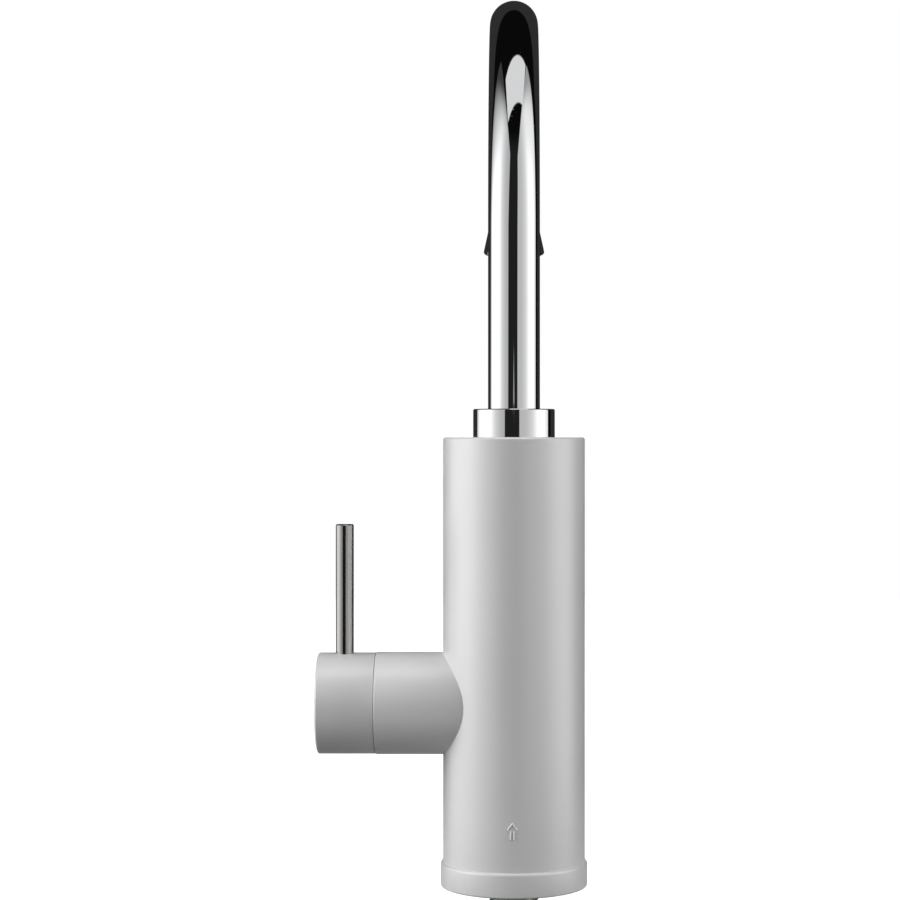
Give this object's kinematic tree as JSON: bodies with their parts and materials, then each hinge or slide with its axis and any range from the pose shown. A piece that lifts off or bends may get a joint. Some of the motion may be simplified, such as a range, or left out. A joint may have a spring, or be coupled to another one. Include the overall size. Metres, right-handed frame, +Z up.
{
  "type": "instant water heater tap",
  "caption": "Deck-mounted electric instant water heater tap: white cylinder with a side knob and lever rod, chrome swivelling gooseneck spout with a bell nozzle.",
  "frame": {"origin": "centre of the casing at the deck face, under the base ring", "axes": "+Z up along the casing, +Y the way the spout reaches, -X the side of the knob and lever"},
  "size_m": [0.114, 0.2548, 0.4485],
  "materials": {
    "white_plastic": "satin white",
    "grey_plastic": "matt",
    "black_plastic": "matt",
    "cream_plastic": "matt",
    "red_plastic": "gloss",
    "chrome": "polished",
    "brushed_steel": "brushed",
    "stainless": "satin",
    "zinc_steel": "zinc plated",
    "brass": "machined",
    "alumina": "lapped",
    "black_rubber": "matt",
    "brown_wire": "insulation",
    "blue_wire": "insulation",
    "green_wire": "insulation"
  },
  "bodies": {
    "base_body": {"casing": "white_plastic", "base_ring": "white_plastic", "base_plate": "grey_plastic", "base_screws": "zinc_steel", "deck_gasket": "black_rubber", "shank": "brass", "strainer": "stainless", "deck_pad": "black_rubber", "horseshoe": "stainless", "lock_nut": "brass", "cable_gland": "black_rubber", "cord_clamp": "black_plastic", "clamp_screws": "zinc_steel", "terminal_block": "cream_plastic", "terminal_screws": "brass", "feed_pipe": "stainless", "valve_body": "brass", "bonnet_nut": "brass", "port_seal": "black_rubber", "fixed_disc": "alumina", "cartridge": "cream_plastic", "cartridge_nut": "brass", "diaphragm": "black_rubber", "switch_housing": "black_plastic", "switch_screws": "zinc_steel", "microswitch": "black_plastic", "switch_bolts": "zinc_steel", "switch_tags": "brass", "heater_can": "stainless", "heater_lid": "stainless", "lid_seal": "black_rubber", "lid_bolts": "zinc_steel", "heating_element": "stainless", "element_terminals": "brass", "nipple_oring": "black_rubber", "thermal_cutout": "black_plastic", "earth_tag": "brass", "spout_socket": "brass", "socket_nut": "brass", "collar": "chrome", "lead_live": "brown_wire", "lead_neutral": "blue_wire", "lead_earth": "green_wire", "return_spring": "stainless"},
    "handle": {"knob": "white_plastic", "lever_rod": "brushed_steel", "spindle": "brass", "spindle_oring": "black_rubber", "thrust_washer": "cream_plastic", "moving_disc": "alumina"},
    "spout": {"spout_tube": "chrome", "spout_end": "brass", "spout_orings": "black_rubber", "spout_clip": "stainless", "nozzle": "chrome", "aerator_washer": "black_rubber", "aerator_core": "cream_plastic", "aerator_ring": "chrome"},
    "switch_plunger": {"plunger": "cream_plastic"},
    "button": {"switch_button": "red_plastic"}
  },
  "joints": [
    {"name": "handle_turn", "type": "hinge", "parent": "base_body", "child": "handle", "pos_m": [-0.07, 0, 0.077], "axis": [1, 0, 0], "range_deg": [-90, 90]},
    {"name": "spout_swivel", "type": "hinge", "parent": "base_body", "child": "spout", "pos_m": [0, 0, 0.19], "axis": [0, 0, 1], "continuous": true},
    {"name": "plunger_push", "type": "slide", "parent": "base_body", "child": "switch_plunger", "axis": [0, 0, -1], "range_m": [0, 0.0014], "stiffness_N_per_m": 300, "springref_m": -0.002, "deforming": ["return_spring"]},
    {"name": "button_push", "type": "slide", "parent": "base_body", "child": "button", "axis": [0, 0, -1], "range_m": [0, 0.0014]}
  ],
  "couplings": [
    {"joint": "button_push", "follows": "plunger_push", "ratio": 1}
  ]
}
